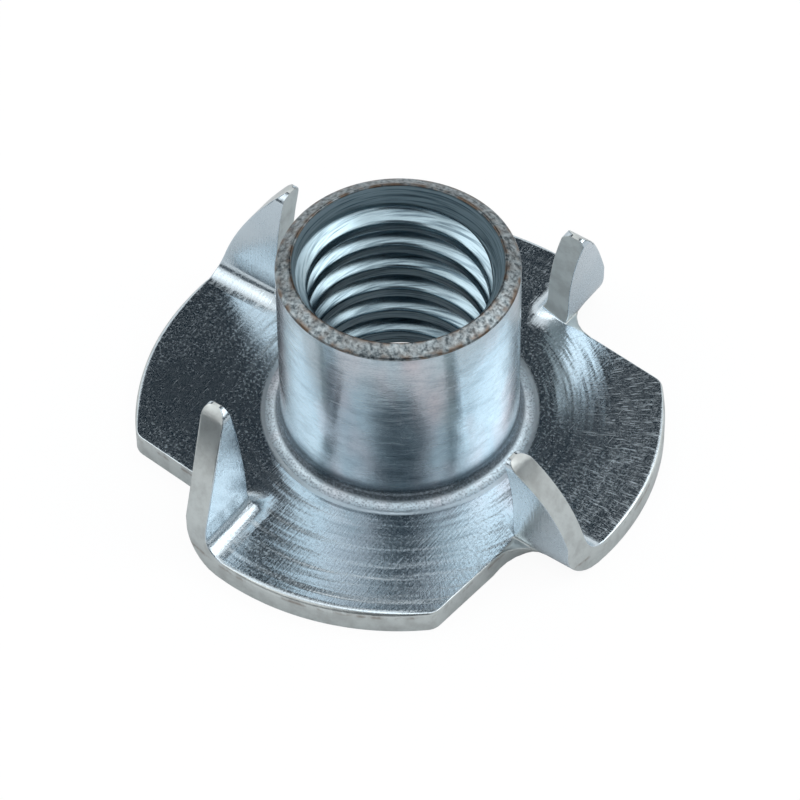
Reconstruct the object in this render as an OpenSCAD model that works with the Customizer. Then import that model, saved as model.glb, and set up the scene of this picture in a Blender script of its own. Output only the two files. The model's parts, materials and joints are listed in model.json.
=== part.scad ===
// Four-prong tee nut, pressed from one disc of zinc-plated steel sheet.
// Millimetres, +Z up along the barrel. The origin is on the barrel's axis,
// in the plane of the flange's underside.
// The disc's middle is drawn up into a barrel and tapped. Four cuts in from
// the rim free four prongs, which are folded up about lines parallel to X and Y.

/* [Thread] */
// Outside diameter of the bolt's thread, mm
thread_d = 8.0; // [7.5:0.1:8.5]
// Pitch of the thread, mm
thread_pitch = 1.25; // [1:0.05:1.5]
// Radial depth of the thread below the bore, mm
thread_depth = 0.55; // [0.4:0.01:0.65]

/* [Barrel] */
// Height from the flange's underside to the rim's inner edge, mm
height = 9.35; // [8:0.05:12]
// Wall outside the thread, mm
barrel_wall = 0.65; // [0.45:0.01:0.8]
// Width of the sloping rim face, mm
rim_w = 0.6; // [0.45:0.01:0.7]
// Rise of the rim face from its outer to its inner edge, mm
rim_rise = 0.3; // [0.1:0.01:0.4]
// Depth of the lead-in, in pitches of the thread
lead_turns = 0.75; // [0.5:0.05:1]
// Slope of the lead-in's wall from the axis, degrees
lead_angle = 20; // [10:1:24]
// Fillet between barrel and flange, mm
base_fillet = 0.6; // [0.3:0.05:1]
// Round where the barrel was drawn in from the underside, mm
mouth_round = 1.5; // [1:0.05:1.8]

/* [Flange] */
// Diameter of the disc, mm
flange_d = 20.6; // [19.5:0.1:22]
// Thickness of the sheet, mm
sheet_t = 1.0; // [0.8:0.05:1.2]
// Roll of the rim's and the cuts' upper edges from blanking, mm
die_roll = 0.2; // [0.1:0.01:0.3]
// Lean of each cut from the line of its prong's edge, degrees
cut_lean = 5; // [0:0.5:8]
// Round of each lobe's corner at the cut, mm
corner_round = 0.7; // [0.3:0.05:1]

/* [Prongs] */
// Number of prongs round the flange
prong_count = 4; // [3:1:4]
// Height of the tips above the underside, mm
prong_h = 6.1; // [5:0.1:7]
// Distance of each prong's inner edge from the axis, along its fold, mm
prong_in = 7.35; // [6.8:0.05:7.7]
// Distance of each prong's fold from the axis, across it, mm
fold_y = 1.25; // [0.8:0.05:1.5]
// Inside radius of the fold, mm
fold_r = 0.6; // [0.4:0.05:0.8]
// Radius at which the blade curves outwards above the fold, mm
flare_r = 14; // [10:0.5:20]
// Width of the blunt tip, mm
tip_w = 0.25; // [0.15:0.05:0.5]
// Bow of each prong's outer edge between rim and tip, mm
edge_bow = 0.35; // [0.2:0.05:0.6]
// Round in the corner between a cut and its prong, mm
root_round = 1.3; // [0.7:0.05:1.5]

/* [Hidden] */
$fn = 128;
// overlap that joins solids or carries a cut past a face
lap = 0.2;
// overlap that lets a lobe's corner round cross the cut and the rim
corner_over = 0.01;
barrel_r = thread_d / 2 + barrel_wall;
bore_r = thread_d / 2 - thread_depth;
flange_r = flange_d / 2;

// the lead-in narrows from the rim, and its foot is a 45 degree step down to the bore
lead_top_r = barrel_r - rim_w;
lead_h = lead_turns * thread_pitch;
lead_z = height - lead_h;
lead_low_r = lead_top_r - lead_h * tan(lead_angle);
lead_foot_z = lead_z - (lead_low_r - bore_r);

// fold of a prong that lies along +X and was cut from the sheet towards -Y
fold_out_r = fold_r + sheet_t;
fold_z = sheet_t + fold_r;
blade_y = fold_y + fold_out_r;
rim_x = sqrt(pow(flange_r, 2) - pow(fold_y, 2));

// outer edge of a prong: an arc from the rim, where the fold starts, to the tip
edge_foot = [rim_x, sheet_t];
edge_tip = [prong_in + tip_w, prong_h];
edge_half = norm(edge_tip - edge_foot) / 2;
edge_dir = (edge_tip - edge_foot) / (2 * edge_half);
edge_in = [-edge_dir[1], edge_dir[0]];
edge_r = (pow(edge_half, 2) + pow(edge_bow, 2)) / (2 * edge_bow);
edge_c = (edge_foot + edge_tip) / 2 + (edge_r - edge_bow) * edge_in;

// the cut is in line with the prong's edge up to the root, then it leans
root = [prong_in, -blade_y - root_round];
cut_dir = [-sin(cut_lean), -cos(cut_lean)];
cut_side = [-cos(cut_lean), sin(cut_lean)];
cut_reach = flange_r;

// centre of the arc that touches both the cut and the rim
corner_from = root + corner_round * cut_side;
corner_dot = corner_from * cut_dir;
corner_gap = pow(flange_r - corner_round, 2) - corner_from * corner_from;
corner_run = -corner_dot + sqrt(pow(corner_dot, 2) + corner_gap);
corner_c = corner_from + corner_run * cut_dir;
corner_on_cut = root + corner_run * cut_dir;
corner_on_rim = corner_c * flange_r / (flange_r - corner_round);

// corner region between two square sides and an arc that touches both
module spandrel(r) {
    difference() {
        square(r);
        translate([r, r]) circle(r);
    }
}

// half section of the barrel and the flange, before the bore is cut
module drawn_section() {
    difference() {
        union() {
            polygon([
                [0, 0],
                [barrel_r, 0],
                [barrel_r, height - rim_rise],
                [lead_top_r, height],
                [0, height]
            ]);
            square([flange_r, sheet_t]);
            translate([barrel_r, sheet_t]) spandrel(base_fillet);
        }
        translate([flange_r, sheet_t]) rotate(180) spandrel(die_roll);
    }
}

// half section of the bore, with the lead-in above it and the drawn mouth below it
module bore_section() {
    translate([0, -lap]) square([bore_r, height + 2 * lap]);
    translate([bore_r, 0]) spandrel(mouth_round);
    polygon([
        [0, lead_foot_z],
        [bore_r, lead_foot_z],
        [lead_low_r, lead_z],
        [lead_top_r, height],
        [0, height]
    ]);
}

// outline of the gap that one prong leaves in the disc
module notch_outline() {
    cut_end = root + cut_reach * cut_dir;
    polygon([
        [prong_in, -fold_y],
        root,
        cut_end,
        [flange_r + lap, cut_end[1]],
        [flange_r + lap, -fold_y]
    ]);
    difference() {
        polygon([corner_c, corner_on_rim * (1 + lap), corner_on_cut - lap * cut_side]);
        translate(corner_c) circle(corner_round + corner_over);
    }
}

// sheet of a prong seen along its fold: a quarter turn, then a slow outward curve
module prong_sheet_section() {
    translate([-fold_y, fold_z]) intersection() {
        difference() {
            circle(fold_out_r);
            circle(fold_r);
        }
        translate([-fold_out_r, -fold_out_r]) square(fold_out_r);
    }
    translate([-blade_y - flare_r, fold_z]) intersection() {
        difference() {
            circle(flare_r + sheet_t);
            circle(flare_r);
        }
        square([flare_r + sheet_t, prong_h - fold_z]);
    }
    // tab that carries the fold into the flange
    translate([-fold_y, 0]) square([lap, sheet_t]);
}

// outline of a prong seen square to its fold
module prong_outline() {
    intersection() {
        translate([prong_in, 0]) square([flange_r, prong_h]);
        union() {
            translate(edge_c) circle(edge_r);
            square([flange_r, sheet_t]);
        }
    }
}

// web that rounds the corner between a cut and the outside of its fold,
// drawn down from the flange's upper face by the roll of the cut
module prong_root() {
    intersection() {
        translate([0, -fold_y, fold_z])
            rotate([0, 90, 0])
                rotate([0, 0, -90])
                    rotate_extrude(angle = 90)
                        translate([fold_out_r, prong_in])
                            difference() {
                                translate([-lap, -lap]) square(root_round + lap);
                                translate([root_round, root_round]) circle(root_round);
                            }
        translate([0, -flange_r, 0]) cube([flange_r, flange_r, sheet_t - die_roll]);
    }
}

module prong() {
    intersection() {
        rotate([90, 0, 90]) linear_extrude(flange_r) prong_sheet_section();
        rotate([90, 0, 0]) linear_extrude(flange_r) prong_outline();
        cylinder(h = prong_h, r = flange_r);
    }
    prong_root();
}

module each_prong() {
    for (i = [0 : prong_count - 1]) rotate(i * 360 / prong_count) children();
}

module tee_nut() {
    color([0.74, 0.77, 0.79]) union() {
        difference() {
            rotate_extrude() difference() {
                drawn_section();
                bore_section();
            }
            each_prong() translate([0, 0, -lap]) linear_extrude(sheet_t + 2 * lap) notch_outline();
        }
        each_prong() prong();
    }
}

tee_nut();
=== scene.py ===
import json
import math
from types import SimpleNamespace

import bmesh
import bpy
import numpy as np
from mathutils import Matrix, Vector


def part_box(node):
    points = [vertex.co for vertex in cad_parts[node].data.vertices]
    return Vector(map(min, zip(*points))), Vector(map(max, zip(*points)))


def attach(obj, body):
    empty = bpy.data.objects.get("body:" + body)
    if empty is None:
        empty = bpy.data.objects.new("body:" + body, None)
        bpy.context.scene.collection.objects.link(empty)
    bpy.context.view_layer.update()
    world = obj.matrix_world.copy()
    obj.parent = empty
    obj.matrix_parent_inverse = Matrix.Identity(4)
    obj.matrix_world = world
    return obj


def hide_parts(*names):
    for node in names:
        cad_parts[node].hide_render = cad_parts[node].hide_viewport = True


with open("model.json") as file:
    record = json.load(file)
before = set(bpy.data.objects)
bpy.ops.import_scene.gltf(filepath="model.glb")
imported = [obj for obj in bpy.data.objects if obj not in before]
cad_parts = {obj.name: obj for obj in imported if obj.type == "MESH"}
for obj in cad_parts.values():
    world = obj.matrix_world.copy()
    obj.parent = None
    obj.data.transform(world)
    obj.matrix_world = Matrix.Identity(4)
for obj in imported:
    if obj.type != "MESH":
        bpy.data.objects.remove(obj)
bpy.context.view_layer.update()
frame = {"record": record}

scene = bpy.context.scene
scene.view_settings.view_transform = "Standard"

mm = 0.001
quarter = math.pi / 2
fullTurn = 2 * math.pi
prongTurns = [k * quarter for k in range(4)]  # of the prongs about the axis
mounts = {mount["name"]: mount for mount in frame["record"]["mounts"]}
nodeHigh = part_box("tee_nut")[1]

# the nut's sizes, in mm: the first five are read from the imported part
nut = {
    "flangeR": nodeHigh.x / mm,
    "high": nodeHigh.z / mm,
    "boreR": mounts["thread"]["dims"]["r_mm"],
    "barrelR": mounts["barrel"]["dims"]["r_mm"],
    "sheetT": mounts["flange_seat"]["pos_m"][2] / mm,
    "pitch": 1.25,  # of the thread
    "threadDeep": 0.55,
    "threadFlank": 30.0,  # slope of the thread's flanks, degrees
    "threadRoot": 1 / 8,  # flat at the thread's root, in pitches
    "threadStart": 195.0,  # turn of the thread about the axis, degrees
    "threadStop": 0.2,  # end of the thread's groove below the rim
    "threadFade": 0.3,  # length over which the groove runs out there
    "crestRound": 0.05,  # half width of the round at the thread's corners, in pitches
    "rimWide": 0.6,  # torn face at the top of the barrel
    "rimRise": 0.3,  # from that face's outer to its inner edge
    "rimSoft": 0.08,  # reach of the round at the rim's two edges
    "leadTurns": 0.75,  # depth of the lead-in, in pitches
    "leadSlope": 20.0,  # degrees from the axis
    "baseFillet": 0.6,  # between barrel and flange
    "mouthRound": 1.5,  # where the barrel was drawn in from the underside
    "scribeR": 5.42,  # faint ring that the drawing die left round the barrel
    "scribeWide": 0.05,
    "scribeDeep": 0.02,
    "scribeClear": 0.3,  # from that ring to the next ring of the flange's grid
    "joinR": 6.2,  # circle where the flange's grid starts to follow the lobes
    "dieRoll": 0.2,  # round of the rim's upper edge from blanking
    "cutLean": 5.0,  # of a cut from its prong's edge, degrees
    "cornerRound": 0.7,  # of a lobe at the cut
    "prongHigh": 6.1,  # tips above the underside
    "prongIn": 7.35,  # from the axis to a prong's inner edge, along its fold
    "foldY": 1.25,  # from the axis to the fold, across it
    "foldR": 0.6,  # inside of the fold
    "flareR": 14.0,  # slow outward curve of the blade
    "tipWide": 0.25,
    "edgeBow": 0.35,  # of a prong's outer edge between rim and tip
    "rootRound": 1.3,  # in the corner between a cut and its prong
    "edgeBreak": 0.06,  # broken edge of cuts and prongs
    "footRamp": 2.5,  # power of the flange's rise to the foot of a prong's inner edge
    "foldEase": 0.35,  # extra radius with which the sheet's upper face eases into a fold
    "tipRound": 0.4,  # height over which the tip is rounded across its thickness
    "tipFlat": 0.3,  # share of the thickness that is left at the very tip
}
n = SimpleNamespace(**nut)

# grid steps: along the outline and up the sheet of a prong, over the flange, and up the
# barrel and its bore; rowCrowd is a power that draws rows to the sheet's lower face
steps = SimpleNamespace(
    rootAcross=4, foldAlong=9, rim=42, corner=8, cut=14, web=6,
    foldLow=6, foldHigh=6, blade=16, tip=7, rowCrowd=1.5,
    lobe=14, under=5, ringTop=3, ringUnder=4,
    mouth=8, lead=3, rimEdge=4, rimFace=5, barrel=8, fillet=8,
)

# sizes that follow from those above, most of them as in the part's source
foldOut = n.foldR + n.sheetT
foldZ = n.sheetT + n.foldR
bladeY = n.foldY + foldOut
rimX = math.sqrt(n.flangeR**2 - n.foldY**2)
foldStart = n.foldY - n.foldEase
easeX = math.sqrt(n.flangeR**2 - foldStart**2)
easeR = n.foldR + n.foldEase
leadTopR = n.barrelR - n.rimWide
leadHigh = n.leadTurns * n.pitch
leadZ = n.high - leadHigh
leadSlope = math.tan(math.radians(n.leadSlope))
leadLowR = leadTopR - leadHigh * leadSlope
leadFootZ = leadZ - (leadLowR - n.boreR)
rootY = bladeY + n.rootRound


def lerp(a, b, t):
    # straight blend from a to b
    return a + (b - a) * t


def joined(*runs):
    # runs end to end, the shared point between two runs kept once
    return np.concatenate([runs[0]] + [run[1:] for run in runs[1:]])


def points(x, y, z):
    # three arrays, or numbers, as one array of points
    return np.stack(np.broadcast_arrays(x, y, z), axis=-1).astype(float)


def turned(grid, angle):
    # points turned about the barrel's axis
    c, s = math.cos(angle), math.sin(angle)
    return grid @ np.array([[c, s, 0], [-s, c, 0], [0, 0, 1]])


patches = []


def addPatch(grid, finish):
    # a grid of points, and the finish that its faces have
    patches.append((grid, finish))


# prong: its sheet turns through a quarter circle, then curves slowly outwards;
# rows up the sheet's thickness are closer together at its lower face
sheetRows = n.sheetT * np.linspace(0, 1, steps.foldLow + 1) ** steps.rowCrowd
rowFace = steps.foldLow
webCol = steps.rootAcross
webTopZ = n.sheetT - n.dieRoll


def angleAt(up):
    # turn of the fold at which its outer face reaches a height
    return np.arccos((foldZ - up) / foldOut)


# turn of the fold at each row and column: rows start level with the sheet's own rows,
# and between the inner edge and the web they start on a slope down to the web
lowRows = angleAt(sheetRows * webTopZ / n.sheetT)
slope = np.concatenate([np.linspace(1, 0, webCol + 1), np.zeros(steps.foldAlong)])
startTurn = lerp(lowRows[-1], angleAt(n.sheetT), slope)
highRows = lerp(startTurn, quarter, np.linspace(0, 1, steps.foldHigh + 1)[:, None])
foldTurn = joined(np.repeat(lowRows[:, None], len(slope), axis=1), highRows)
foldTurn[rowFace] = startTurn
tipTurn = np.linspace(0, quarter, steps.tip + 1)
tipFoot = n.prongHigh - n.tipRound
bladeRows = np.linspace(foldZ, tipFoot, steps.blade + 1)
flareRows = joined(bladeRows, tipFoot + n.tipRound * np.sin(tipTurn))
flareUp = flareRows[:, None] + np.zeros(len(slope))
# share of the thickness and of the width that is left at each row: an ellipse at the tip
tipShare = lerp(n.tipFlat, 1, np.cos(tipTurn))[:, None]


def flareFace(flareRadius):
    # distance across the fold of one face of the blade above it
    return bladeY + n.flareR - np.sqrt(flareRadius**2 - (flareUp - foldZ) ** 2)


def prongReach(across, up):
    # x of the prong's outer edge: an arc from the rim to the tip, inside the disc's own circle
    foot = np.array([rimX, n.sheetT])
    tip = np.array([n.prongIn + n.tipWide, n.prongHigh])
    half = np.linalg.norm(tip - foot) / 2
    along = (tip - foot) / (2 * half)
    radius = (half**2 + n.edgeBow**2) / (2 * n.edgeBow)
    centre = (foot + tip) / 2 + (radius - n.edgeBow) * np.array([-along[1], along[0]])
    arc = centre[0] + np.sqrt(radius**2 - (np.maximum(up, n.sheetT) - centre[1]) ** 2)
    return np.minimum(arc, np.sqrt(n.flangeR**2 - across**2))


outAcross = joined(n.foldY + foldOut * np.sin(foldTurn), flareFace(n.flareR))
outUp = joined(foldZ - foldOut * np.cos(foldTurn), flareUp)
# the inner face eases into the fold on a wider arc, which ends a little way up the blade
easeTurn = foldTurn / quarter * math.acos(n.foldEase / easeR)
easeDown = np.clip(foldZ + n.foldEase - flareUp, 0, None)
easeFace = np.where(
    easeDown > 0, foldStart + np.sqrt(easeR**2 - easeDown**2), flareFace(n.flareR + n.sheetT)
)
inAcross = joined(foldStart + easeR * np.sin(easeTurn), easeFace)
inUp = joined(foldZ + n.foldEase - easeR * np.cos(easeTurn), flareUp)
tipRows = slice(-steps.tip - 1, None)
tipMid = (outAcross[tipRows] + inAcross[tipRows]) / 2
outAcross[tipRows] = lerp(tipMid, outAcross[tipRows], tipShare)
inAcross[tipRows] = lerp(tipMid, inAcross[tipRows], tipShare)
outWidth = prongReach(outAcross, outUp) - n.prongIn
inWidth = prongReach(inAcross, inUp) - n.prongIn
outWidth[tipRows] *= np.sqrt(tipShare)
inWidth[tipRows] *= np.sqrt(tipShare)

# share of the width at each column: the web's reach first, then the rest
edgeWidth = outWidth[:, -1:]
webShare = n.rootRound * np.minimum(1, edgeWidth / edgeWidth[rowFace]) / edgeWidth
widthShare = np.concatenate([
    webShare * np.linspace(0, 1, webCol + 1),
    lerp(webShare, 1, np.linspace(0, 1, steps.foldAlong + 1)[1:]),
], axis=1)
outerFace = points(n.prongIn + widthShare * edgeWidth, -outAcross, outUp)
innerFace = points(n.prongIn + widthShare * inWidth[:, -1:], -inAcross, inUp)
outerFace[:, -1, 0] = n.prongIn + outWidth[:, -1]
innerFace[0] = points(n.prongIn + widthShare[0] * (easeX - n.prongIn), -foldStart, n.sheetT)

# inner edge: between the outer and the inner face, above the fold's low part
thickness = (sheetRows / n.sheetT)[:, None]
innerEdge = lerp(outerFace[rowFace:, :1], innerFace[rowFace:, :1], thickness)
# its foot, where the flange was drawn up to it: up the fold, then down across the sheet
footLine = joined(innerFace[: rowFace + 1, 0], innerEdge[0, ::-1])
outerEdge = lerp(outerFace[:, -1:], innerFace[:, -1:], thickness)
tipFace = lerp(outerFace[-1][:, None], innerFace[-1][:, None], thickness)

# web in the corner between cut and fold: a quarter circle rolled round the fold's axis,
# as high as the sheet at the cut and lower where it meets the fold
webTurn = np.linspace(quarter, 0, steps.web + 1)
webX = n.prongIn + n.rootRound * (1 - np.sin(webTurn))
webRadius = foldOut + n.rootRound * (1 - np.cos(webTurn))
webHigh = lerp(webTopZ, n.sheetT, webTurn / quarter)
webUp = sheetRows[:, None] * webHigh / n.sheetT
webAcross = n.foldY + np.sqrt(webRadius**2 - (foldZ - webUp) ** 2)
web = points(webX, -webAcross, webUp)

# slope from the flange's face down to the web's upper edge
slopeTop = lerp(webAcross[-1, 0], outAcross[rowFace, 0], np.linspace(0, 1, steps.web + 1))
slopeEdge = points(n.prongIn, -slopeTop, n.sheetT)
webSlope = lerp(slopeEdge, web[-1], np.linspace(0, 1, webCol + 1)[:, None, None])
webSlope[:, -1] = outerFace[rowFace, : webCol + 1]

for patch, finish in (
    (outerFace[: rowFace + 1, webCol:], "sheet"),
    (outerFace[rowFace:], "sheet"),
    (innerFace, "sheet"),
    (innerEdge, "sheared"),
    (outerEdge, "sheared"),
    (tipFace, "sheared"),
    (web, "sheared"),
    (webSlope, "sheared"),
):
    for turn in prongTurns:
        addPatch(turned(patch, turn), finish)

# outline of a lobe, from its own prong round the rim to the next prong's root
lean = math.radians(n.cutLean)
cutDir = np.array([-math.sin(lean), -math.cos(lean)])
cutSide = np.array([-math.cos(lean), math.sin(lean)])
root = np.array([n.prongIn, -rootY])
cornerFrom = root + n.cornerRound * cutSide
cornerDot = cornerFrom @ cutDir
cornerGap = (n.flangeR - n.cornerRound) ** 2 - cornerFrom @ cornerFrom
cornerRun = -cornerDot + math.sqrt(cornerDot**2 + cornerGap)
cornerMid = cornerFrom + cornerRun * cutDir

rimStart = math.atan2(-foldStart, easeX)
rimEnd = math.atan2(cornerMid[1], cornerMid[0]) + quarter
rimAngles = np.linspace(rimStart, rimEnd, steps.rim + 1)
cornerEnd = math.atan2(-cutSide[1], -cutSide[0]) + quarter
cornerAngles = np.linspace(rimEnd, cornerEnd, steps.corner + 1)
cornerMid3 = turned(points(cornerMid[0], cornerMid[1], 0), quarter)
cutRun = np.linspace(cornerRun, 0, steps.cut + 1)
cutXY = root[:, None] + cutRun * cutDir[:, None]
cutLine = turned(points(*cutXY, 0), quarter)
lobeEdge = joined(
    points(n.flangeR * np.cos(rimAngles), n.flangeR * np.sin(rimAngles), 0),
    cornerMid3 + n.cornerRound * points(np.cos(cornerAngles), np.sin(cornerAngles), 0),
    cutLine,
)

# wall below that outline, ending on the web's side
wall = np.repeat(lobeEdge[None], len(sheetRows), axis=0)
wall = np.concatenate([wall, turned(web[:, :1], quarter)], axis=1)
wall[..., 2] = sheetRows[:, None]
wall[:, 0] = outerEdge[0]
for turn in prongTurns:
    addPatch(turned(wall, turn), "sheared")

# flange: the whole outline's columns, radial from a circle to the lobes
topQuarter = joined(
    innerFace[0], wall[-1], turned(slopeEdge, quarter), turned(footLine[::-1], quarter)
)
underFold = innerFace[0].copy()
underFold[:, 0] = np.maximum(outerFace[0, :, 0], n.prongIn + n.rootRound)
underFold[:, 1] = -n.foldY
underFold[:, 2] = 0
underEnd = np.repeat(turned(underFold[:1], quarter), len(footLine), axis=0)
underQuarter = joined(underFold, wall[0], turned(web[0], quarter), underEnd)


def allRound(path):
    # one quarter's path four times round, closed on its first point
    return joined(*[turned(path, turn) for turn in prongTurns])


def ownAngles(path):
    # turn of each of a path's points about the axis, without jumps
    return np.unwrap(np.arctan2(path[:, 1], path[:, 0]))


topPath = allRound(topQuarter)
underPath = allRound(underQuarter)
topOwn = ownAngles(topPath)
underOwn = ownAngles(underPath)
# even columns for the round forms, turned so that they lie nearest to the upper path's own
even = np.linspace(0, fullTurn, len(topPath))
even += np.mean((topOwn - even)[:-1])
print("outline has", len(topPath) - 1, "columns")


def flangeFace(ringR, path, own, rows, up):
    # rings whose columns slide from even spacing to the path's own, then radial rows out to
    # it, whose height rises as a power of the way out
    slide = np.linspace(0, 1, len(ringR))[:, None]
    angles = lerp(even, own, slide)
    ringUp = np.broadcast_to(np.asarray(up, float), (len(ringR),))[:, None]
    rings = points(ringR[:, None] * np.cos(angles), ringR[:, None] * np.sin(angles), ringUp)
    out = np.linspace(0, 1, rows + 1)[:, None]
    spokes = lerp(rings[-1], path, out[..., None])
    spokes[..., 2] = lerp(rings[-1, :, 2], path[:, 2], out**n.footRamp)
    return joined(rings, spokes)


filletR = n.barrelR + n.baseFillet
scribe = n.scribeR + n.scribeWide * np.array([-1, 0, 1])
outerRings = np.linspace(n.scribeR + n.scribeClear, n.joinR, steps.ringTop + 1)
topRings = np.concatenate([[filletR], scribe, outerRings])
topUp = np.where(topRings == n.scribeR, n.sheetT - n.scribeDeep, n.sheetT)
addPatch(flangeFace(topRings, topPath, topOwn, steps.lobe, topUp), "sheet")

underRings = np.linspace(n.boreR + n.mouthRound, n.joinR, steps.ringUnder + 1)
addPatch(flangeFace(underRings, underPath, underOwn, steps.under, 0), "sheet")


# barrel and bore: profiles turned about the axis, the thread's rows climbing with the turn
def arc(midR, midZ, radius, start, end, count):
    # part of a circle in the half section, between two angles in degrees
    angles = np.radians(np.linspace(start, end, count + 1))
    return np.stack([midR + radius * np.cos(angles), midZ + radius * np.sin(angles)], axis=1)


def revolved(profile):
    # a half section turned about the axis, one copy to a column
    r, z = profile[:, :1], profile[:, 1:]
    return points(r * np.cos(even), r * np.sin(even), z)


def mouthWall(z):
    # radius of the drawn mouth at a height
    rise = np.clip(n.mouthRound - z, 0, n.mouthRound)
    return n.boreR + n.mouthRound - np.sqrt(n.mouthRound**2 - rise**2)


def leadWall(z):
    # radius of the lead-in at a height: a 45 degree step, then a steep cone
    step = n.boreR + np.clip(z - leadFootZ, 0, leadLowR - n.boreR)
    return step + np.clip(z - leadZ, 0, None) * leadSlope


majorR = n.boreR + n.threadDeep
flankWide = n.threadDeep * math.tan(math.radians(n.threadFlank)) / n.pitch
crestWide = 1 - 2 * flankWide - n.threadRoot

# one pitch of the thread: crest, flank, root, flank; each corner has three rows, one on
# each of its slopes and one between them on a soft corner
cornerAt = np.cumsum([crestWide, flankWide, n.threadRoot, flankWide])
cornerDeep = np.array([0.0, 1.0, 1.0, 0.0])
slopeBefore = np.array([0, 1, 0, -1]) / flankWide
slopeAfter = np.array([1, 0, -1, 0]) / flankWide
softAt = n.crestRound * np.array([-1, 0, 1])
softDeep = np.stack([
    cornerDeep - n.crestRound * slopeBefore,
    cornerDeep + n.crestRound * (slopeAfter - slopeBefore) / 4,
    cornerDeep + n.crestRound * slopeAfter,
], axis=1)
pitchAt = (cornerAt[:, None] + softAt).ravel()
pitchDeep = softDeep.ravel()

# the thread runs from where the drawn mouth is as wide as its root to just below the rim
threadLow = n.mouthRound - math.sqrt(n.mouthRound**2 - (n.boreR + n.mouthRound - majorR) ** 2)
threadHigh = n.high - n.threadStop
climb = (even + math.radians(n.threadStart)) / fullTurn
firstPitch = math.floor(threadLow / n.pitch - climb[-1]) - 1
lastPitch = math.ceil(threadHigh / n.pitch - climb[0]) + 1
rowAt = (np.arange(firstPitch, lastPitch)[:, None] + pitchAt).ravel()
rowDeep = np.tile(pitchDeep, lastPitch - firstPitch)
threadZ = np.clip((rowAt[:, None] + climb) * n.pitch, threadLow, threadHigh)
fade = np.clip((threadHigh - threadZ) / n.threadFade, 0, 1)
threadR = n.boreR + n.threadDeep * rowDeep[:, None] * fade
threadR = np.maximum(threadR, np.maximum(mouthWall(threadZ), leadWall(threadZ)))
threadR[threadZ <= threadLow] = majorR
addPatch(points(threadR * np.cos(even), threadR * np.sin(even), threadZ), "tapped")

mouthEnd = math.degrees(math.acos((n.boreR + n.mouthRound - majorR) / n.mouthRound))
mouthMid = n.boreR + n.mouthRound
mouth = arc(mouthMid, n.mouthRound, n.mouthRound, 270, 180 + mouthEnd, steps.mouth)
addPatch(revolved(mouth), "sheet")


def softCorner(before, corner, after, count):
    # round from one point to another past a corner: each point is a blend of the three
    # with weights (1-t) squared, 2t(1-t) and t squared
    t = np.linspace(0, 1, count + 1)[:, None]
    return (1 - t) ** 2 * before + 2 * t * (1 - t) * corner + t**2 * after


# rim: its torn face slopes down from the lead-in's edge to the barrel's side
rimInner = np.array([leadTopR, n.high])
rimOuter = np.array([n.barrelR, n.high - n.rimRise])
rimWay = (rimOuter - rimInner) / np.linalg.norm(rimOuter - rimInner)
leadTop = rimInner - n.rimSoft * np.array([leadSlope, 1])
rimTop = rimInner + n.rimSoft * rimWay
rimFoot = rimOuter - n.rimSoft * rimWay
sideTop = rimOuter - n.rimSoft * np.array([0, 1])
leadRows = np.linspace(threadHigh, leadTop[1], steps.lead + 1)
lead = np.stack([leadWall(leadRows), leadRows], axis=1)
addPatch(revolved(lead), "tapped")
rimFace = np.linspace(rimTop, rimFoot, steps.rimFace + 1)
rimInside = softCorner(leadTop, rimInner, rimTop, steps.rimEdge)
rimOutside = softCorner(rimFoot, rimOuter, sideTop, steps.rimEdge)
addPatch(revolved(joined(rimInside, rimFace, rimOutside)), "rim")

filletTop = n.sheetT + n.baseFillet
barrelSide = np.linspace(sideTop, [n.barrelR, filletTop], steps.barrel + 1)
filletArc = arc(filletR, filletTop, n.baseFillet, 180, 270, steps.fillet)
addPatch(revolved(joined(barrelSide, filletArc)), "drawn")
print("patches:", len(patches))

# one closed skin: every patch's grid of quads, merged along their shared edges
finishes = ["sheet", "drawn", "sheared", "rim", "tapped"]

# how the skin is sewn and its edges are rounded, in mm and degrees
sewing = SimpleNamespace(
    weld=0.002,  # points closer than this are merged
    sliver=0.001,  # edges shorter than this are dissolved
    sharp=35.0,  # bend from which an edge is broken
    faceNear=0.01,  # distance within which an edge is on the flange's upper face
    rimNear=0.02,  # and within which it is on the rim
    rimFade=6.0,  # turn over which the roll sets in at each end of a lobe's rim
    foldShare=0.2,  # most that a break takes of the distance from the fold's inner end
    bladeShare=0.07,  # most that it takes of the blade's width
    segments=3,  # faces across a round
)


def gridFaces(rows, cols, first):
    # quads between the points of a grid whose first point has the number given
    corner = first + (np.arange(rows - 1)[:, None] * cols + np.arange(cols - 1)).ravel()
    return np.stack([corner, corner + 1, corner + cols + 1, corner + cols], axis=1)


def skinMesh(name):
    # all patches as one mesh, merged where they meet, with its faces turned outwards
    starts = np.cumsum([0] + [grid.shape[0] * grid.shape[1] for grid, _ in patches])
    coords = np.concatenate([grid.reshape(-1, 3) for grid, _ in patches])
    faces = [gridFaces(*grid.shape[:2], start) for (grid, _), start in zip(patches, starts)]
    slots = np.concatenate([
        np.full(len(quads), finishes.index(finish)) for quads, (_, finish) in zip(faces, patches)
    ])
    mesh = bpy.data.meshes.new(name)
    mesh.from_pydata(coords, [], np.concatenate(faces).tolist())
    mesh.polygons.foreach_set("material_index", slots.astype(np.int32))
    bm = bmesh.new()
    bm.from_mesh(mesh)
    bmesh.ops.remove_doubles(bm, verts=bm.verts, dist=sewing.weld)
    bmesh.ops.dissolve_degenerate(bm, edges=bm.edges, dist=sewing.sliver)
    bmesh.ops.recalc_face_normals(bm, faces=bm.faces)
    bm.to_mesh(mesh)
    bm.free()
    return mesh


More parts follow.
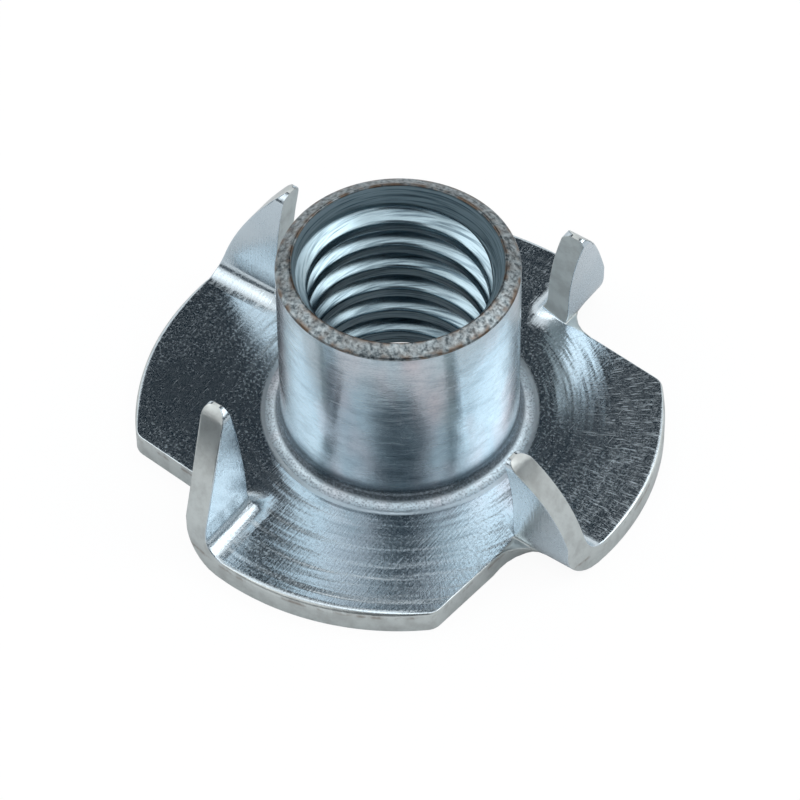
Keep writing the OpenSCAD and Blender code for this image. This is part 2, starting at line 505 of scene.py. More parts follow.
def edgeBends(mesh):
    # angle between the two faces at each edge of a closed mesh, and the edge's middle
    loopEdge = np.empty(len(mesh.loops), np.int32)
    faceLoops = np.empty(len(mesh.polygons), np.int32)
    normals = np.empty(len(mesh.polygons) * 3, np.float32)
    ends = np.empty(len(mesh.edges) * 2, np.int32)
    coords = np.empty(len(mesh.vertices) * 3, np.float32)
    mesh.loops.foreach_get("edge_index", loopEdge)
    mesh.polygons.foreach_get("loop_total", faceLoops)
    mesh.polygons.foreach_get("normal", normals)
    mesh.edges.foreach_get("vertices", ends)
    mesh.vertices.foreach_get("co", coords)
    loopFace = np.repeat(np.arange(len(faceLoops)), faceLoops)
    pair = normals.reshape(-1, 3)[loopFace[np.argsort(loopEdge, kind="stable")].reshape(-1, 2)]
    bend = np.arccos(np.clip((pair[:, 0] * pair[:, 1]).sum(axis=1), -1, 1))
    return bend, coords.reshape(-1, 3)[ends.reshape(-1, 2)].mean(axis=1)


def edgeRolls(mesh):
    # width of the round at each edge: the blanking roll at the rim's upper edge and a light
    # break at every other sharp edge of the lobes and prongs
    bend, mid = edgeBends(mesh)
    reach = np.hypot(mid[:, 0], mid[:, 1])
    angle = np.arctan2(mid[:, 1], mid[:, 0])
    lobe = np.floor((angle - rimEnd) / quarter + 1) * quarter
    x = mid[:, 0] * np.cos(lobe) + mid[:, 1] * np.sin(lobe)
    y = mid[:, 1] * np.cos(lobe) - mid[:, 0] * np.sin(lobe)
    sharp = (bend > math.radians(sewing.sharp)) & (reach > n.joinR)
    width = np.where(sharp, n.edgeBreak, 0)

    onFace = sharp & (np.abs(mid[:, 2] - n.sheetT) < sewing.faceNear)
    onRim = onFace & (reach > n.flangeR - sewing.rimNear)
    along = np.arctan2(y, x)
    fromEnd = np.minimum(along - rimStart, rimEnd - along)
    fadeIn = np.clip(fromEnd / math.radians(sewing.rimFade), 0, 1)
    width[onRim] = lerp(n.edgeBreak, n.dieRoll, fadeIn[onRim])

    # near the inner end of a fold the break narrows to nothing
    fromFold = np.hypot(x - n.prongIn, y + foldStart) + np.abs(mid[:, 2] - n.sheetT)
    width = np.minimum(width, sewing.foldShare * fromFold)

    # towards a tip the break narrows with the blade
    onBlade = mid[:, 2] > n.sheetT + sewing.faceNear
    bladeEnd = prongReach(np.clip(-y, 0, n.flangeR), np.minimum(mid[:, 2], n.prongHigh))
    bladeWide = np.maximum(bladeEnd - n.prongIn, n.tipWide)
    narrowed = np.minimum(width, sewing.bladeShare * bladeWide)
    width[onBlade] = narrowed[onBlade]
    return width


def rolledSkin(name):
    # the skin with its edges rounded, worked in mm and then brought to metres
    rough = skinMesh(name)
    widths = edgeRolls(rough)
    weights = rough.attributes.new("bevel_weight_edge", "FLOAT", "EDGE")
    weights.data.foreach_set("value", (widths / n.dieRoll).astype(np.float32))
    rough.polygons.foreach_set("use_smooth", np.ones(len(rough.polygons), bool))
    blank = bpy.data.objects.new(name, rough)
    scene.collection.objects.link(blank)
    roll = blank.modifiers.new("rolledEdges", "BEVEL")
    roll.limit_method = "WEIGHT"
    roll.width = n.dieRoll
    roll.segments = sewing.segments
    roll.use_clamp_overlap = False
    flat = blank.modifiers.new("flatFaces", "WEIGHTED_NORMAL")
    flat.keep_sharp = False
    graph = bpy.context.evaluated_depsgraph_get()
    mesh = bpy.data.meshes.new_from_object(blank.evaluated_get(graph))
    bpy.data.objects.remove(blank)
    bpy.data.meshes.remove(rough)
    mesh.name = name
    mesh.transform(Matrix.Scale(mm, 4))
    return mesh


skin = rolledSkin("teeNut")
print("skin:", len(skin.polygons), "faces")
teeNut = bpy.data.objects.new("teeNut", skin)
scene.collection.objects.link(teeNut)
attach(teeNut, "root")
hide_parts("tee_nut")
print("nut placed on the frame")


# finishes: zinc plate on pressed steel, as each operation left its surface
def hexColour(code):
    # sRGB hex to the linear values that the shaders take
    srgb = np.array([int(code[i : i + 2], 16) for i in (1, 3, 5)]) / 255
    linear = np.where(srgb <= 0.04045, srgb / 12.92, ((srgb + 0.055) / 1.055) ** 2.4)
    return (*linear, 1.0)


def addNode(tree, kind, inputs, out=0, **settings):
    # one node: inputs are values or the sockets that feed it, settings are its own fields and
    # out is the output that is handed back; a mix of colours takes its share at input 0 and
    # the colours at 6 and 7, and gives the result at output 2
    node = tree.nodes.new(kind)
    for name, value in settings.items():
        setattr(node, name, value)
    for name, value in inputs.items():
        if isinstance(value, bpy.types.NodeSocket):
            tree.links.new(value, node.inputs[name])
        else:
            node.inputs[name].default_value = value
    return node.outputs[out]


def startMetal(name):
    # new material with its shader set to plain metal
    material = bpy.data.materials.new(name)
    material.use_nodes = True
    shader = material.node_tree.nodes["Principled BSDF"]
    shader.inputs["Metallic"].default_value = 1.0
    return material, material.node_tree, shader


def placeOnNut(tree):
    # place in mm, the direction from the barrel's axis, the distance from it and the height
    place = addNode(tree, "ShaderNodeTexCoord", {}, "Object")
    inMm = addNode(tree, "ShaderNodeVectorMath", {0: place, "Scale": 1 / mm}, operation="SCALE")
    flat = addNode(tree, "ShaderNodeVectorMath", {0: inMm, 1: (1, 1, 0)}, operation="MULTIPLY")
    way = addNode(tree, "ShaderNodeVectorMath", {0: flat}, operation="NORMALIZE")
    reach = addNode(tree, "ShaderNodeVectorMath", {0: flat}, "Value", operation="LENGTH")
    height = addNode(tree, "ShaderNodeSeparateXYZ", {0: inMm}, "Z")
    return SimpleNamespace(inMm=inMm, way=way, reach=reach, height=height)


def wrapNoise(tree, way, perRadian, along, perMm, **noise):
    # noise laid round the axis: so many cells to a radian one way, so many to a mm the other
    ring = addNode(tree, "ShaderNodeVectorMath", {0: way, "Scale": perRadian}, operation="SCALE")
    lift = addNode(tree, "ShaderNodeMath", {0: along, 1: perMm}, operation="MULTIPLY")
    offset = addNode(tree, "ShaderNodeCombineXYZ", {"Z": lift})
    laid = addNode(tree, "ShaderNodeVectorMath", {0: ring, 1: offset})
    return addNode(tree, "ShaderNodeTexNoise", {"Vector": laid, "Scale": 1.0, **noise})


# In the looks below, lengths are in mm and names that end in Deep in microns. A name that ends
# in Turn is in cells to a radian, and one that ends in Cut is the pair of noise values between
# which a mark sets in.
micron = 1e-6

# rolled sheet, dulled by tumbling: fine grain and scratches, die marks round the barrel,
# drag lines at the rim that are strongest on one side
sheetLook = {
    "pale": "#D3DDE3",
    "deep": "#B9C9D3",
    "blotch": 2.5,
    "blotchCut": (0.38, 0.62),
    "blotchShare": (0.25, 0.85),  # strength of the grain's marks outside and inside a blotch
    "grain": 0.11,
    "grainDeep": 4.5,
    "grainCut": (0.5, 0.74),
    "scratchWide": 0.07,
    "scratchLong": 0.9,
    "scratchDeep": 4.0,
    "scratchCut": (0.66, 0.8),
    "scratchShare": 0.6,
    "scratchWays": (0.4, 1.3, 2.4),  # radians
    "streakWide": 0.085,  # at the rim
    "streakLong": 0.6,
    "streakDeep": 12.0,
    "streakCut": (0.55, 0.72),
    "streakFrom": 6.2,  # distance from the axis at which the drag lines begin
    "streakFull": 8.8,  # and at which they are strongest
    "streakLeast": 0.05,  # their strength further in
    "streakSide": (0.906, 0.423, 0.0),  # direction in which they are strongest
    "sideFull": 0.9,  # cosine of the turn from that side within which they stay strongest
    "sideLeast": 0.15,  # their strength on the other side
    "ringWide": 0.55,
    "ringDeep": 70.0,
    "ringTurn": 1.1,
    "faceEnd": (0.005, 0.06),  # heights above the sheet between which die and drag marks end
    "rubR": 5.38,  # edge of the ring that the die rubbed matt
    "rubFade": 0.1,
    "smooth": 0.2,  # roughness between the marks
    "rough": 0.55,  # roughness in the marks
}
sheetMetal, tree, shader = startMetal("zincRolledSheet")
at = placeOnNut(tree)
blotch = addNode(tree, "ShaderNodeTexNoise", {
    "Vector": at.inMm, "Scale": 1 / sheetLook["blotch"], "Detail": 4.0,
})
tint = addNode(tree, "ShaderNodeMix", {
    0: blotch, 6: hexColour(sheetLook["pale"]), 7: hexColour(sheetLook["deep"]),
}, 2, data_type="RGBA")
tree.links.new(tint, shader.inputs["Base Color"])
rings = wrapNoise(
    tree, at.way, sheetLook["ringTurn"], at.reach, 1 / sheetLook["ringWide"], Detail=2.0
)
onFlange = addNode(tree, "ShaderNodeMapRange", {
    "Value": at.height, "From Min": n.sheetT + sheetLook["faceEnd"][0],
    "From Max": n.sheetT + sheetLook["faceEnd"][1], "To Min": 1.0, "To Max": 0.0,
})
ringBump = addNode(tree, "ShaderNodeBump", {
    "Height": rings, "Strength": onFlange, "Distance": sheetLook["ringDeep"] * micron,
})
streaks = wrapNoise(
    tree, at.way, n.flangeR / sheetLook["streakWide"], at.reach, 1 / sheetLook["streakLong"],
    Detail=3.0, Roughness=0.6,
)
nearRim = addNode(tree, "ShaderNodeMapRange", {
    "Value": at.reach, "From Min": sheetLook["streakFrom"], "From Max": sheetLook["streakFull"],
    "To Min": sheetLook["streakLeast"], "To Max": 1.0,
})
onSide = addNode(tree, "ShaderNodeVectorMath", {
    0: at.way, 1: sheetLook["streakSide"],
}, "Value", operation="DOT_PRODUCT")
sideShare = addNode(tree, "ShaderNodeMapRange", {
    "Value": onSide, "From Min": 0.0, "From Max": sheetLook["sideFull"],
    "To Min": sheetLook["sideLeast"], "To Max": 1.0,
})
rimSide = addNode(tree, "ShaderNodeMath", {0: nearRim, 1: sideShare}, operation="MULTIPLY")
streakShare = addNode(tree, "ShaderNodeMath", {0: rimSide, 1: onFlange}, operation="MULTIPLY")
normal = addNode(tree, "ShaderNodeBump", {
    "Height": streaks, "Strength": streakShare, "Distance": sheetLook["streakDeep"] * micron,
    "Normal": ringBump,
})
scratchMarks = []
for angle in sheetLook["scratchWays"]:
    laid = addNode(tree, "ShaderNodeMapping", {
        "Vector": at.inMm, "Rotation": (0, 0, angle),
        "Scale": (1 / sheetLook["scratchWide"], 1 / sheetLook["scratchLong"], 1.0),
    })
    scratch = addNode(tree, "ShaderNodeTexNoise", {"Vector": laid, "Scale": 1.0, "Detail": 2.0})
    normal = addNode(tree, "ShaderNodeBump", {
        "Height": scratch, "Strength": 1.0, "Distance": sheetLook["scratchDeep"] * micron,
        "Normal": normal,
    })
    scratchMark = addNode(tree, "ShaderNodeMapRange", {
        "Value": scratch, "From Min": sheetLook["scratchCut"][0],
        "From Max": sheetLook["scratchCut"][1], "To Max": sheetLook["scratchShare"],
    })
    scratchMarks.append(scratchMark)
grain = addNode(tree, "ShaderNodeTexNoise", {
    "Vector": at.inMm, "Scale": 1 / sheetLook["grain"], "Detail": 3.0, "Roughness": 0.6,
})
normal = addNode(tree, "ShaderNodeBump", {
    "Height": grain, "Strength": 1.0, "Distance": sheetLook["grainDeep"] * micron,
    "Normal": normal,
})
tree.links.new(normal, shader.inputs["Normal"])
blotchShare = addNode(tree, "ShaderNodeMapRange", {
    "Value": blotch, "From Min": sheetLook["blotchCut"][0], "From Max": sheetLook["blotchCut"][1],
    "To Min": sheetLook["blotchShare"][0], "To Max": sheetLook["blotchShare"][1],
})
grainMark = addNode(tree, "ShaderNodeMapRange", {
    "Value": grain, "From Min": sheetLook["grainCut"][0], "From Max": sheetLook["grainCut"][1],
    "To Max": blotchShare,
})
streakMark = addNode(tree, "ShaderNodeMapRange", {
    "Value": streaks, "From Min": sheetLook["streakCut"][0],
    "From Max": sheetLook["streakCut"][1], "To Max": streakShare,
})
rubMark = addNode(tree, "ShaderNodeMapRange", {
    "Value": at.reach, "From Min": sheetLook["rubR"],
    "From Max": sheetLook["rubR"] + sheetLook["rubFade"], "To Min": grain, "To Max": 0.0,
})
marks = grainMark
for mark in (streakMark, rubMark, *scratchMarks):
    marks = addNode(tree, "ShaderNodeMath", {0: marks, 1: mark}, operation="MAXIMUM")
dull = addNode(tree, "ShaderNodeMapRange", {
    "Value": marks, "To Min": sheetLook["smooth"], "To Max": sheetLook["rough"],
})
tree.links.new(dull, shader.inputs["Roughness"])

# drawn barrel: burnished by the die, with faint lines round it, a thin film that tints it,
# smudges, and a dark speckled band at its foot, which is painted shade: it stands in for the
# shade and dark reflection in the corner by the flange
drawnLook = {
    "pale": "#D0DCE2",
    "cool": "#B7CCD8",
    "coolTurn": 1.5,
    "coolHigh": 3.0,
    "warm": "#D8CCD0",
    "warmTurn": 2.3,
    "warmHigh": 4.29,
    "warmCut": (0.5, 0.75),
    "warmShare": 0.8,
    "smudge": "#7F8F99",
    "smudgeTurn": 3.0,
    "smudgeHigh": 0.5,
    "smudgeCut": (0.48, 0.72),
    "smudgeShare": 0.55,
    # colour and strength of the painted shade: the dark band at the barrel's foot
    "foot": "#414B53",
    "footShare": 0.85,
    "footLow": 0.18,  # above the flange
    "footHigh": 0.9,
    "speck": "#8C98A2",
    "speckCut": (0.46, 0.64),
    "speckLeast": 0.2,  # strength of specks and grain above the foot
    "grain": 0.085,
    "grainDeep": 14.0,
    "dentWide": 1.2,
    "dentHigh": 2.4,
    "dentDeep": 16.0,
    "lineTurn": 4.0,
    "lineHigh": 0.09,
    "lineDeep": 1.5,
    "lineCut": (0.42, 0.7),
    "burnished": 0.16,  # roughness of the side
    "scuffed": 0.3,  # roughness of the lines round it
    "rubbed": 0.5,  # roughness at the foot
    "rubbedHigh": 0.4,  # above the flange
}
# heights of the band at the barrel's foot, where the shade is painted and the specks and grain
# are strongest
footTop = n.sheetT + drawnLook["footHigh"]
footLow = n.sheetT + drawnLook["footLow"]
drawnMetal, tree, shader = startMetal("zincDrawnBarrel")
at = placeOnNut(tree)
cool = wrapNoise(
    tree, at.way, drawnLook["coolTurn"], at.height, 1 / drawnLook["coolHigh"], Detail=2.0
)
coolTint = addNode(tree, "ShaderNodeMix", {
    0: cool, 6: hexColour(drawnLook["pale"]), 7: hexColour(drawnLook["cool"]),
}, 2, data_type="RGBA")
warm = wrapNoise(
    tree, at.way, drawnLook["warmTurn"], at.height, 1 / drawnLook["warmHigh"], Detail=2.0
)
warmShare = addNode(tree, "ShaderNodeMapRange", {
    "Value": warm, "From Min": drawnLook["warmCut"][0], "From Max": drawnLook["warmCut"][1],
    "To Max": drawnLook["warmShare"],
})
tint = addNode(tree, "ShaderNodeMix", {
    0: warmShare, 6: coolTint, 7: hexColour(drawnLook["warm"]),
}, 2, data_type="RGBA")
smudges = wrapNoise(
    tree, at.way, drawnLook["smudgeTurn"], at.height, 1 / drawnLook["smudgeHigh"],
    Detail=6.0, Roughness=0.7,
)
smudgeShare = addNode(tree, "ShaderNodeMapRange", {
    "Value": smudges, "From Min": drawnLook["smudgeCut"][0],
    "From Max": drawnLook["smudgeCut"][1], "To Max": drawnLook["smudgeShare"],
})
handled = addNode(tree, "ShaderNodeMix", {
    0: smudgeShare, 6: tint, 7: hexColour(drawnLook["smudge"]),
}, 2, data_type="RGBA")
# painted shade: a dark band at the barrel's foot that fades in above the flange and out below
# footTop, in place of the corner's shade and dark reflection
shadeFadeTop = addNode(tree, "ShaderNodeMapRange", {
    "Value": at.height, "From Min": n.sheetT + drawnLook["footHigh"] / 2, "From Max": footTop,
    "To Min": drawnLook["footShare"], "To Max": 0.0,
})
footShare = addNode(tree, "ShaderNodeMapRange", {
    "Value": at.height, "From Min": n.sheetT + drawnLook["footLow"] / 2, "From Max": footLow,
    "To Max": shadeFadeTop,
})
# the barrel's colour with the painted shade at its foot
withPaintedShade = addNode(tree, "ShaderNodeMix", {
    0: footShare, 6: handled, 7: hexColour(drawnLook["foot"]),
}, 2, data_type="RGBA")
grain = addNode(tree, "ShaderNodeTexNoise", {
    "Vector": at.inMm, "Scale": 1 / drawnLook["grain"], "Detail": 3.0, "Roughness": 0.6,
})
atFoot = addNode(tree, "ShaderNodeMapRange", {
    "Value": at.height, "From Min": footLow, "From Max": footTop,
    "To Min": 1.0, "To Max": drawnLook["speckLeast"],
})
speckShare = addNode(tree, "ShaderNodeMapRange", {
    "Value": grain, "From Min": drawnLook["speckCut"][0], "From Max": drawnLook["speckCut"][1],
    "To Max": atFoot,
})
speckled = addNode(tree, "ShaderNodeMix", {
    0: speckShare, 6: withPaintedShade, 7: hexColour(drawnLook["speck"]),
}, 2, data_type="RGBA")
tree.links.new(speckled, shader.inputs["Base Color"])
dents = wrapNoise(
    tree, at.way, n.barrelR / drawnLook["dentWide"], at.height, 1 / drawnLook["dentHigh"]
)
dentBump = addNode(tree, "ShaderNodeBump", {
    "Height": dents, "Strength": 1.0, "Distance": drawnLook["dentDeep"] * micron,
})
lines = wrapNoise(
    tree, at.way, drawnLook["lineTurn"], at.height, 1 / drawnLook["lineHigh"],
    Detail=3.0, Roughness=0.6,
)
lineBump = addNode(tree, "ShaderNodeBump", {
    "Height": lines, "Strength": 1.0, "Distance": drawnLook["lineDeep"] * micron,
    "Normal": dentBump,
})
grainBump = addNode(tree, "ShaderNodeBump", {
    "Height": grain, "Strength": atFoot, "Distance": drawnLook["grainDeep"] * micron,
    "Normal": lineBump,
})
tree.links.new(grainBump, shader.inputs["Normal"])
sideDull = addNode(tree, "ShaderNodeMapRange", {
    "Value": lines, "From Min": drawnLook["lineCut"][0], "From Max": drawnLook["lineCut"][1],
    "To Min": drawnLook["burnished"], "To Max": drawnLook["scuffed"],
})
dull = addNode(tree, "ShaderNodeMapRange", {
    "Value": at.height, "From Min": n.sheetT, "From Max": n.sheetT + drawnLook["rubbedHigh"],
    "To Min": drawnLook["rubbed"], "To Max": sideDull,
})
tree.links.new(dull, shader.inputs["Roughness"])

# sheared edges: matt and torn, a little warmer than the faces, with thin brown traces
shearedLook = {
    "pale": "#CDD3D2",
    "deep": "#C0C7C7",
    "tear": 0.7,
    "tearCut": (0.35, 0.65),
    "brown": "#6E5644",
    "brownCut": (0.46, 0.62),
    "brownDown": 0.2,  # from the flange's face down to the brown line
    "brownWide": 0.1,
    "brownShare": (0.65, 0.12),  # strength on that line and away from it
    "grit": 0.12,
    "gritDeep": 4.0,
    "innerR": 8.3,  # distance from the axis, beyond the prongs' inner edges
    "innerFade": 0.3,
    "aboveFade": 0.2,  # height above the sheet over which those edges turn rough
    "smooth": 0.28,  # roughness of rim and cuts
    "rough": 0.75,  # roughness of the prongs' inner edges
    "bare": 0.3,  # share of plain metal there: the torn plate scatters the rest
}
shearedMetal, tree, shader = startMetal("zincShearedEdge")
at = placeOnNut(tree)
tear = addNode(tree, "ShaderNodeTexNoise", {
    "Vector": at.inMm, "Scale": 1 / shearedLook["tear"], "Detail": 5.0, "Roughness": 0.65,
})
tearShare = addNode(tree, "ShaderNodeMapRange", {
    "Value": tear, "From Min": shearedLook["tearCut"][0], "From Max": shearedLook["tearCut"][1],
})
tint = addNode(tree, "ShaderNodeMix", {
    0: tearShare, 6: hexColour(shearedLook["pale"]), 7: hexColour(shearedLook["deep"]),
}, 2, data_type="RGBA")
fromLine = addNode(tree, "ShaderNodeMath", {
    0: at.height, 1: n.sheetT - shearedLook["brownDown"],
}, operation="SUBTRACT")
offLine = addNode(tree, "ShaderNodeMath", {0: fromLine}, operation="ABSOLUTE")
onLine = addNode(tree, "ShaderNodeMapRange", {
    "Value": offLine, "From Min": 0.0, "From Max": shearedLook["brownWide"],
    "To Min": shearedLook["brownShare"][0], "To Max": shearedLook["brownShare"][1],
})
brownShare = addNode(tree, "ShaderNodeMapRange", {
    "Value": tear, "From Min": shearedLook["brownCut"][0],
    "From Max": shearedLook["brownCut"][1], "To Max": onLine,
})
stained = addNode(tree, "ShaderNodeMix", {
    0: brownShare, 6: tint, 7: hexColour(shearedLook["brown"]),
}, 2, data_type="RGBA")
tree.links.new(stained, shader.inputs["Base Color"])
grit = addNode(tree, "ShaderNodeTexNoise", {
    "Vector": at.inMm, "Scale": 1 / shearedLook["grit"], "Detail": 3.0, "Roughness": 0.6,
})
gritBump = addNode(tree, "ShaderNodeBump", {
    "Height": grit, "Strength": 1.0, "Distance": shearedLook["gritDeep"] * micron,
})
tree.links.new(gritBump, shader.inputs["Normal"])
aboveSheet = addNode(tree, "ShaderNodeMapRange", {
    "Value": at.height, "From Min": n.sheetT, "From Max": n.sheetT + shearedLook["aboveFade"],
    "To Min": shearedLook["smooth"], "To Max": shearedLook["rough"],
})
dull = addNode(tree, "ShaderNodeMapRange", {
    "Value": at.reach, "From Min": shearedLook["innerR"] - shearedLook["innerFade"],
    "From Max": shearedLook["innerR"], "To Min": aboveSheet, "To Max": shearedLook["smooth"],
})
tree.links.new(dull, shader.inputs["Roughness"])
metalShare = addNode(tree, "ShaderNodeMapRange", {
    "Value": dull, "From Min": shearedLook["smooth"], "From Max": shearedLook["rough"],
    "To Min": 1.0, "To Max": shearedLook["bare"],
})
tree.links.new(metalShare, shader.inputs["Metallic"])

# rim: torn when the cup's bottom was pierced, so it is granular and freckled with brown
rimLook = {
    "pale": "#ABB7BC",
    "deep": "#4A5256",
    "grit": 0.17,
    "gritDeep": 22.0,
    "gritCut": (0.36, 0.7),
    "brown": "#63503F",
    "freckle": 0.34,
    "freckleCut": (0.42, 0.6),
    "freckleShare": (0.2, 0.85),  # strength in the middle of the face and along its edges
    "lineWide": 0.1,  # of the brown line along each edge
    "roughness": 0.3,
}
rimMetal, tree, shader = startMetal("zincTornRim")
shader.inputs["Roughness"].default_value = rimLook["roughness"]
at = placeOnNut(tree)
grit = addNode(tree, "ShaderNodeTexNoise", {
    "Vector": at.inMm, "Scale": 1 / rimLook["grit"], "Detail": 3.0, "Roughness": 0.6,
})
gritShare = addNode(tree, "ShaderNodeMapRange", {
    "Value": grit, "From Min": rimLook["gritCut"][0], "From Max": rimLook["gritCut"][1],
})
tint = addNode(tree, "ShaderNodeMix", {
    0: gritShare, 6: hexColour(rimLook["deep"]), 7: hexColour(rimLook["pale"]),
}, 2, data_type="RGBA")
freckle = addNode(tree, "ShaderNodeTexNoise", {
    "Vector": at.inMm, "Scale": 1 / rimLook["freckle"], "Detail": 3.0,
})
fromMiddle = addNode(tree, "ShaderNodeMath", {
    0: at.reach, 1: n.barrelR - n.rimWide / 2,
}, operation="SUBTRACT")
offMiddle = addNode(tree, "ShaderNodeMath", {0: fromMiddle}, operation="ABSOLUTE")
atEdge = addNode(tree, "ShaderNodeMapRange", {
    "Value": offMiddle, "From Min": n.rimWide / 2 - 2 * rimLook["lineWide"],
    "From Max": n.rimWide / 2 - rimLook["lineWide"] / 2,
    "To Min": rimLook["freckleShare"][0], "To Max": rimLook["freckleShare"][1],
})
freckleShare = addNode(tree, "ShaderNodeMapRange", {
    "Value": freckle, "From Min": rimLook["freckleCut"][0], "From Max": rimLook["freckleCut"][1],
    "To Max": atEdge,
})
stained = addNode(tree, "ShaderNodeMix", {
    0: freckleShare, 6: tint, 7: hexColour(rimLook["brown"]),
}, 2, data_type="RGBA")
tree.links.new(stained, shader.inputs["Base Color"])
gritBump = addNode(tree, "ShaderNodeBump", {
    "Height": grit, "Strength": 1.0, "Distance": rimLook["gritDeep"] * micron,
})
tree.links.new(gritBump, shader.inputs["Normal"])

# tapped bore: cut bright by the tap, with fine tool lines that run round it
tappedLook = {
    "pale": "#AAC0CA",
    "deep": "#5B707C",
    "lineTurn": 1.6,
    "lineHigh": 0.07,
    "lineDeep": 2.2,
    "lineCut": (0.45, 0.68),
    "cut": 0.24,  # roughness of the thread
    "reamed": 0.55,  # roughness of the lead-in
}
tappedMetal, tree, shader = startMetal("zincTappedThread")
at = placeOnNut(tree)
lines = wrapNoise(
    tree, at.way, tappedLook["lineTurn"], at.height, 1 / tappedLook["lineHigh"],
    Detail=3.0, Roughness=0.6,
)
lineShare = addNode(tree, "ShaderNodeMapRange", {
    "Value": lines, "From Min": tappedLook["lineCut"][0], "From Max": tappedLook["lineCut"][1],
})
tint = addNode(tree, "ShaderNodeMix", {
    0: lineShare, 6: hexColour(tappedLook["pale"]), 7: hexColour(tappedLook["deep"]),
}, 2, data_type="RGBA")
tree.links.new(tint, shader.inputs["Base Color"])
lineBump = addNode(tree, "ShaderNodeBump", {
    "Height": lines, "Strength": 1.0, "Distance": tappedLook["lineDeep"] * micron,
})
tree.links.new(lineBump, shader.inputs["Normal"])
dull = addNode(tree, "ShaderNodeMapRange", {
    "Value": at.height, "From Min": leadFootZ, "From Max": leadZ,
    "To Min": tappedLook["cut"], "To Max": tappedLook["reamed"],
})
tree.links.new(dull, shader.inputs["Roughness"])

# in the order of the list finishes
for material in (sheetMetal, drawnMetal, shearedMetal, rimMetal, tappedMetal):
    skin.materials.append(material)
finishAt = np.empty(len(skin.polygons), np.int32)
skin.polygons.foreach_get("material_index", finishAt)
print("faces of each finish:", np.bincount(finishAt), "of", len(skin.materials), "finishes")

# camera at the photograph's angle; lengths in mm, angles in degrees
view = {
    "azimuth": 36.5,
    "elevation": 49.0,
    "distance": 180.0,
    "aim": (0.745, -1.006, 2.891),
    "roll": -0.79,
    "lens": 210.9,
    "clipNear": 10.0,
}
azimuth = math.radians(view["azimuth"])
roll = math.radians(view["roll"])


def wayTo(turn, rise):
    # unit vector out from the nut: turn is the view's azimuth, rise its elevation
    level = math.cos(rise)
    return Vector((level * math.sin(turn), -level * math.cos(turn), math.sin(rise)))


back = wayTo(azimuth, math.radians(view["elevation"]))
side = Vector((math.cos(azimuth), math.sin(azimuth), 0))
up = back.cross(side)
right = side * math.cos(roll) + up * math.sin(roll)
axes = Matrix((right, back.cross(right), back)).transposed()
eye = (Vector(view["aim"]) + back * view["distance"]) * mm
lensData = bpy.data.cameras.new("photoCamera")
lensData.lens = view["lens"]
lensData.sensor_fit = "HORIZONTAL"
lensData.clip_start = view["clipNear"] * mm
camera = bpy.data.objects.new("photoCamera", lensData)
camera.matrix_world = Matrix.Translation(eye) @ axes.to_4x4()
scene.collection.objects.link(camera)
scene.camera = camera

# studio: white floor and surround, dark cards that the metal mirrors, soft lamps; in metres
studio = {
    "white": "#FFFFFF",
    "floorHalf": 1.5,
    "floorDown": 1e-5,  # so that the floor and the nut's underside don't share a plane
    "floor": "#CED0D2",  # as the metal mirrors it
    "floorRough": 0.9,
    "floorGlow": 0.9,  # share of the floor's white that a shadow doesn't touch
    "floorBright": 1.03,  # strength of that white, so that it meets the white behind it
    "touch": 5e-5,  # rays shorter than this leave the nut's own underside
    "worldBright": 1.0,
    "cardFar": 0.7,
    "cardStep": 6.0,  # degrees
    "cardRows": 8,
    "dark": "#17242D",
    "grey": "#2C3A44",
    "lampFar": 0.6,
}


def stageMesh(name, coords, faces, material):
    # plain mesh of the studio, no part of the nut
    mesh = bpy.data.meshes.new(name)
    mesh.from_pydata(coords, [], faces)
    mesh.materials.append(material)
    obj = bpy.data.objects.new(name, mesh)
    scene.collection.objects.link(obj)
    return obj


# floor: matt and pale grey for what it lights, mostly an even white for the camera
floorPaper = bpy.data.materials.new("studioWhite")
floorPaper.use_nodes = True
tree = floorPaper.node_tree
shader = tree.nodes["Principled BSDF"]
shader.inputs["Base Color"].default_value = hexColour(studio["floor"])
shader.inputs["Roughness"].default_value = studio["floorRough"]
shader.inputs["Specular IOR Level"].default_value = 0.0
glow = addNode(tree, "ShaderNodeEmission", {
    "Color": hexColour(studio["white"]), "Strength": studio["floorBright"],
})
seen = addNode(tree, "ShaderNodeLightPath", {}, "Is Camera Ray")
glowShare = addNode(
    tree, "ShaderNodeMath", {0: seen, 1: studio["floorGlow"]}, operation="MULTIPLY"
)
paper = addNode(tree, "ShaderNodeMixShader", {0: glowShare, 1: shader.outputs[0], 2: glow})
# from below, and from the nut's underside, the floor is clear, so that the underside shows
below = addNode(tree, "ShaderNodeNewGeometry", {}, "Backfacing")
rayLength = addNode(tree, "ShaderNodeLightPath", {}, "Ray Length")
touching = addNode(
    tree, "ShaderNodeMath", {0: rayLength, 1: studio["touch"]}, operation="LESS_THAN"
)
clearShare = addNode(tree, "ShaderNodeMath", {0: below, 1: touching}, operation="MAXIMUM")
clear = addNode(tree, "ShaderNodeBsdfTransparent", {})
surface = addNode(tree, "ShaderNodeMixShader", {0: clearShare, 1: paper, 2: clear})
tree.links.new(surface, tree.nodes["Material Output"].inputs["Surface"])
floorEdge = studio["floorHalf"] * np.array([-1, 1])
floorGrid = points(floorEdge, floorEdge[:, None], -studio["floorDown"])
stageMesh("floor", floorGrid.reshape(-1, 3), gridFaces(2, 2, 0).tolist(), floorPaper)


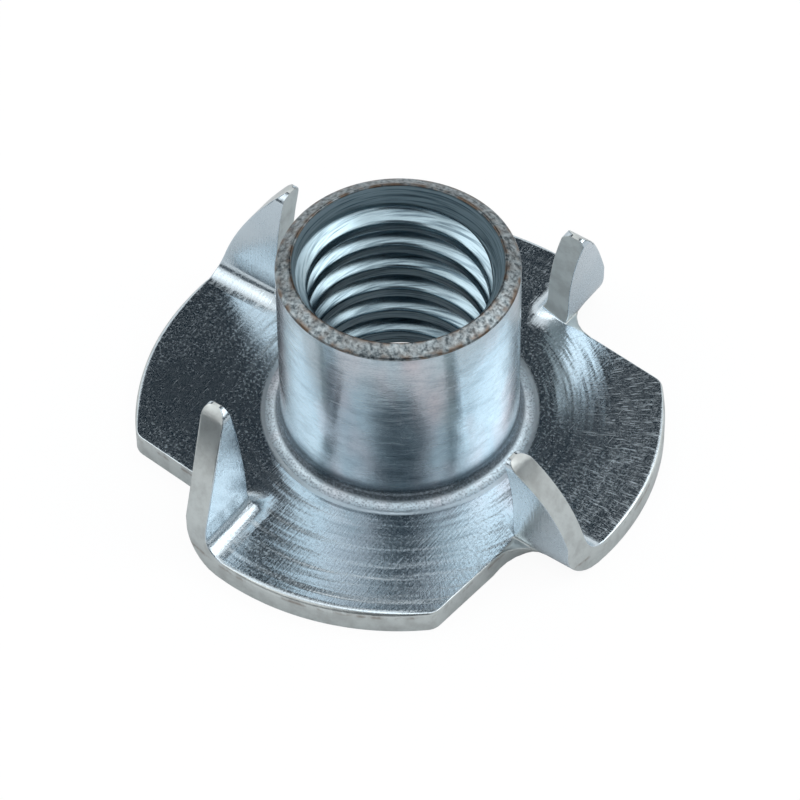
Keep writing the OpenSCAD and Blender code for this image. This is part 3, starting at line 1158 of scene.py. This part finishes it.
def addCard(name, colour, turn, wide, low, high):
    # part of a sphere round the nut that only reflections see: wide degrees to each side of
    # a turn from the camera, from one rise to another
    material = bpy.data.materials.new(name)
    material.use_nodes = True
    tree = material.node_tree
    glow = addNode(tree, "ShaderNodeEmission", {"Color": hexColour(colour), "Strength": 1.0})
    tree.links.new(glow, tree.nodes["Material Output"].inputs["Surface"])
    columns = round(2 * wide / studio["cardStep"])
    turns = azimuth + np.radians(np.linspace(turn - wide, turn + wide, columns + 1))
    rises = np.radians(np.linspace(low, high, studio["cardRows"] + 1))[:, None]
    level = studio["cardFar"] * np.cos(rises)
    grid = points(
        level * np.sin(turns), -level * np.cos(turns), studio["cardFar"] * np.sin(rises)
    )
    card = stageMesh(name, grid.reshape(-1, 3), gridFaces(*grid.shape[:2], 0).tolist(), material)
    card.visible_camera = False
    card.visible_diffuse = False
    card.visible_shadow = False
    card.visible_transmission = False


addCard("backCard", studio["dark"], turn=180, wide=42, low=28, high=63)
addCard("frontCard", studio["grey"], turn=0, wide=27, low=30, high=58)
addCard("overCard", studio["dark"], turn=0, wide=36, low=58, high=74)
addCard("lowCard", studio["grey"], turn=0, wide=102, low=8, high=27)

world = bpy.data.worlds.new("studio")
scene.world = world
world.use_nodes = True
surround = world.node_tree.nodes["Background"]
surround.inputs["Color"].default_value = hexColour(studio["white"])
surround.inputs["Strength"].default_value = studio["worldBright"]


def addLamp(name, turn, rise, wide, watts):
    # square soft lamp that faces the nut, at a turn from the camera and a rise in degrees
    data = bpy.data.lights.new(name, "AREA")
    data.size = wide
    data.energy = watts
    lamp = bpy.data.objects.new(name, data)
    out = wayTo(azimuth + math.radians(turn), math.radians(rise))
    lamp.location = out * studio["lampFar"]
    lamp.rotation_euler = out.to_track_quat("Z", "Y").to_euler()
    scene.collection.objects.link(lamp)


addLamp("topLamp", turn=0, rise=80, wide=0.3, watts=0.3)
addLamp("leftLamp", turn=-95, rise=42, wide=0.4, watts=0.4)
addLamp("rightLamp", turn=95, rise=42, wide=0.4, watts=0.7)
print("studio ready")
